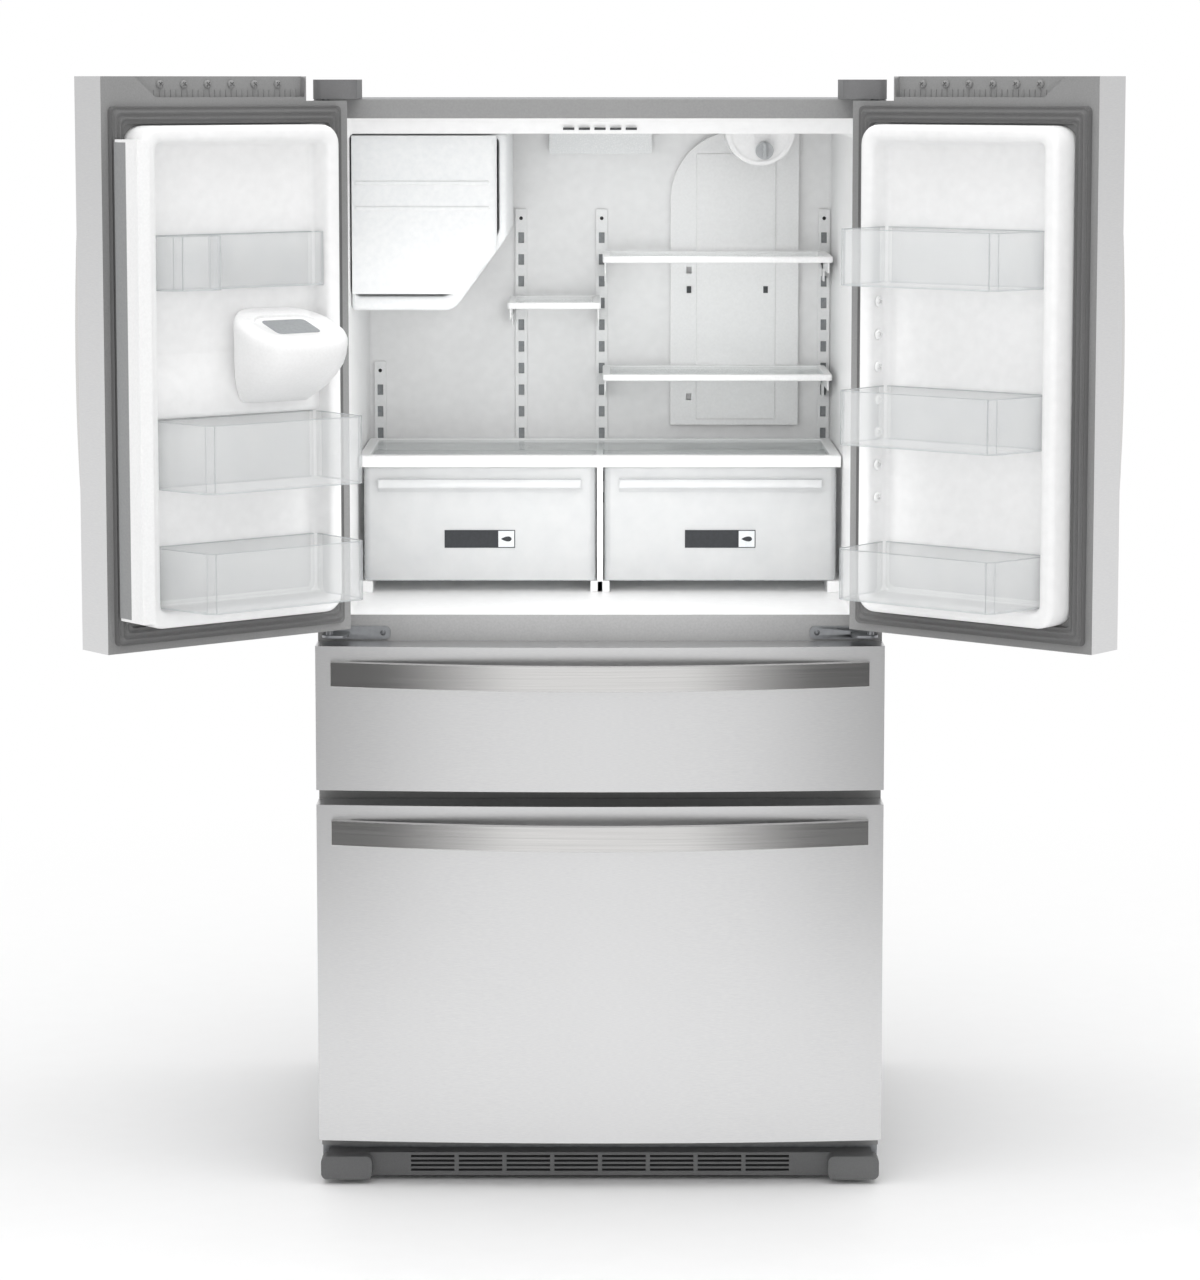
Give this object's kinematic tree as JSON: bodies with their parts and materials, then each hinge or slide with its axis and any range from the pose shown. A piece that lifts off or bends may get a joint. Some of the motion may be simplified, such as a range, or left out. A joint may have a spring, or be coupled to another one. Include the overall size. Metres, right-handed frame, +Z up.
{
  "type": "french door refrigerator",
  "caption": "Free-standing refrigerator with two hinged upper doors, a pantry drawer and a bottom freezer drawer, shown with both doors open on lit white shelves, crispers and door bins.",
  "frame": {"origin": "centre of the object's footprint on the floor, with both doors open and all drawers shut", "axes": "+Z up, -Y out of the front, +X to the right of someone facing the front"},
  "size_m": [1.6118, 1.1428, 1.779],
  "materials": {
    "stainless": "satin brushed stainless, horizontal grain",
    "bar_metal": "satin bar",
    "case_paint": "satin gray paint with a fine texture",
    "frame_paint": "semi-gloss gray paint",
    "plated_steel": "zinc plated sheet",
    "white_liner": "smooth white formed plastic",
    "white_trim": "white moulded plastic",
    "clear_plastic": "clear moulded plastic",
    "shelf_glass": "tempered glass in a white frame",
    "gasket_gray": "soft gray vinyl",
    "gray_plastic": "gray moulded plastic",
    "black_plastic": "black moulded plastic",
    "black_paint": "black enamel",
    "roller_plastic": "hard black plastic"
  },
  "bodies": {
    "cabinet": {"outer_shell": "case_paint", "back_panel": "case_paint", "machine_cover": "case_paint", "front_frame": "frame_paint", "base_pan": "plated_steel", "upper_hinge_left": "plated_steel", "upper_hinge_right": "plated_steel", "lower_hinge_left": "plated_steel", "lower_hinge_right": "plated_steel", "level_leg_left": "plated_steel", "level_leg_right": "plated_steel", "fresh_food_liner": "white_liner", "pantry_liner": "white_liner", "freezer_liner": "white_liner", "air_duct_cover": "white_trim", "filter_housing": "white_trim", "ice_box": "white_trim", "shelf_track_far_left": "white_trim", "shelf_track_left": "white_trim", "shelf_track_middle": "white_trim", "shelf_track_right": "white_trim", "rear_lamp": "clear_plastic", "upper_shelf": "shelf_glass", "lower_shelf": "shelf_glass", "half_shelf": "shelf_glass", "crisper_cover": "shelf_glass", "hinge_cover_left": "gray_plastic", "hinge_cover_right": "gray_plastic", "base_grille": "gray_plastic", "compressor": "black_paint"},
    "left_door": {"left_door_shell": "stainless", "left_door_liner": "white_liner", "left_door_gasket": "gasket_gray", "left_door_handle": "bar_metal", "left_door_bin_top": "clear_plastic", "left_door_bin_middle": "clear_plastic", "left_door_bin_bottom": "clear_plastic", "ice_chute": "white_trim", "dispenser_housing": "black_plastic"},
    "right_door": {"right_door_shell": "stainless", "right_door_liner": "white_liner", "right_door_gasket": "gasket_gray", "right_door_handle": "bar_metal", "right_door_bin_top": "clear_plastic", "right_door_bin_middle": "clear_plastic", "right_door_bin_bottom": "clear_plastic"},
    "flap": {"mullion_flap": "gray_plastic"},
    "paddle": {"dispenser_paddle": "gray_plastic"},
    "pantry_drawer": {"pantry_front": "stainless", "pantry_handle": "bar_metal", "pantry_tub": "clear_plastic"},
    "freezer_drawer": {"freezer_front": "stainless", "freezer_handle": "bar_metal", "freezer_basket": "white_trim"},
    "left_crisper": {"crisper_left": "clear_plastic"},
    "right_crisper": {"crisper_right": "clear_plastic"},
    "ice_door": {"ice_box_door": "white_trim"},
    "knob": {"filter_knob": "gray_plastic"},
    "left_roller": {"rear_roller_left": "roller_plastic"},
    "right_roller": {"rear_roller_right": "roller_plastic"}
  },
  "joints": [
    {"name": "left_door", "type": "hinge", "parent": "cabinet", "child": "left_door", "pos_m": [-0.431, -0.21759, 1.342], "axis": [0, 0, 1], "range_deg": [0, 141]},
    {"name": "right_door", "type": "hinge", "parent": "cabinet", "child": "right_door", "pos_m": [0.431, -0.21759, 1.342], "axis": [0, 0, -1], "range_deg": [0, 141]},
    {"name": "mullion_flap", "type": "hinge", "parent": "left_door", "child": "flap", "pos_m": [-0.71495, -0.51367, 1.322], "axis": [0, 0, -1], "range_deg": [0, 90]},
    {"name": "dispenser_paddle", "type": "hinge", "parent": "left_door", "child": "paddle", "pos_m": [-0.59864, -0.33791, 1.398], "axis": [-0.7771, -0.6293, 0], "range_deg": [0, 10], "stiffness_Nm_per_rad": 0.3},
    {"name": "pantry_drawer", "type": "slide", "parent": "cabinet", "child": "pantry_drawer", "axis": [0, 1, 0], "range_m": [-0.4, 0]},
    {"name": "freezer_drawer", "type": "slide", "parent": "cabinet", "child": "freezer_drawer", "axis": [0, 1, 0], "range_m": [-0.42, 0]},
    {"name": "left_crisper", "type": "slide", "parent": "cabinet", "child": "left_crisper", "axis": [0, 1, 0], "range_m": [-0.26, 0]},
    {"name": "right_crisper", "type": "slide", "parent": "cabinet", "child": "right_crisper", "axis": [0, 1, 0], "range_m": [-0.26, 0]},
    {"name": "ice_box_door", "type": "hinge", "parent": "cabinet", "child": "ice_door", "pos_m": [-0.177, -0.03709, 1.55], "axis": [0, 0, -1], "range_deg": [-90, 0]},
    {"name": "filter_knob", "type": "hinge", "parent": "cabinet", "child": "knob", "pos_m": [0.277, 0.21241, 1.655], "axis": [0, 1, 0], "range_deg": [0, 90]},
    {"name": "left_roller", "type": "hinge", "parent": "cabinet", "child": "left_roller", "pos_m": [-0.4, 0.51141, 0.024], "axis": [1, 0, 0], "continuous": true},
    {"name": "right_roller", "type": "hinge", "parent": "cabinet", "child": "right_roller", "pos_m": [0.4, 0.51141, 0.024], "axis": [1, 0, 0], "continuous": true}
  ]
}
